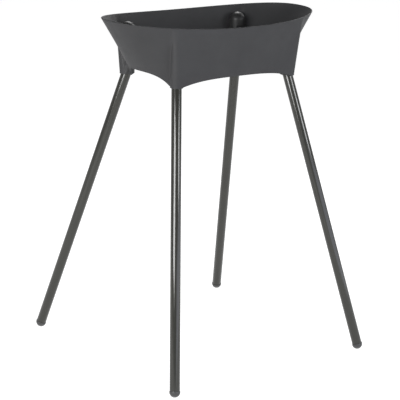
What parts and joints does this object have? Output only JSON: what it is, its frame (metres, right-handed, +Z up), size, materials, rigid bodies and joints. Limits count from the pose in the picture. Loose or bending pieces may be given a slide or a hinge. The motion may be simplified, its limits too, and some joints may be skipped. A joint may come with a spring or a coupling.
{
  "type": "baby bath stand",
  "caption": "Free-standing baby bath stand: a flared oval plastic ring with a raised lip at each end, on splayed round tube legs with domed foot caps and snap buttons.",
  "frame": {"origin": "on the floor, below the middle of the ring", "axes": "+X along the length of the ring, +Y across it towards the back, +Z up"},
  "size_m": [0.622, 0.6078, 0.8545],
  "materials": {
    "ring_plastic": "satin moulded dark grey",
    "tube_paint": "gloss powder coat, dark grey",
    "cap_plastic": "satin moulded dark grey",
    "spring_steel": "bright spring steel"
  },
  "bodies": {
    "stand": {"top_ring": "ring_plastic", "leg_front_left": "tube_paint", "leg_front_right": "tube_paint", "leg_back_left": "tube_paint", "leg_back_right": "tube_paint", "foot_cap_front_left": "cap_plastic", "foot_cap_front_right": "cap_plastic", "foot_cap_back_left": "cap_plastic", "foot_cap_back_right": "cap_plastic", "button_spring_front_left": "spring_steel", "button_spring_front_right": "spring_steel", "button_spring_back_left": "spring_steel", "button_spring_back_right": "spring_steel"},
    "button_front_left": {"snap_button_front_left": "spring_steel"},
    "button_front_right": {"snap_button_front_right": "spring_steel"},
    "button_back_left": {"snap_button_back_left": "spring_steel"},
    "button_back_right": {"snap_button_back_right": "spring_steel"}
  },
  "joints": [
    {"name": "press_front_left", "type": "slide", "parent": "stand", "child": "button_front_left", "axis": [-0.5164, -0.7986, 0.3091], "range_m": [0, 0.0049], "stiffness_N_per_m": 800, "springref_m": -0.003, "deforming": ["button_spring_front_left"]},
    {"name": "press_front_right", "type": "slide", "parent": "stand", "child": "button_front_right", "axis": [0.5164, -0.7986, 0.3091], "range_m": [0, 0.0049], "stiffness_N_per_m": 800, "springref_m": -0.003, "deforming": ["button_spring_front_right"]},
    {"name": "press_back_left", "type": "slide", "parent": "stand", "child": "button_back_left", "axis": [-0.5164, 0.7986, 0.3091], "range_m": [0, 0.0049], "stiffness_N_per_m": 800, "springref_m": -0.003, "deforming": ["button_spring_back_left"]},
    {"name": "press_back_right", "type": "slide", "parent": "stand", "child": "button_back_right", "axis": [0.5164, 0.7986, 0.3091], "range_m": [0, 0.0049], "stiffness_N_per_m": 800, "springref_m": -0.003, "deforming": ["button_spring_back_right"]}
  ]
}
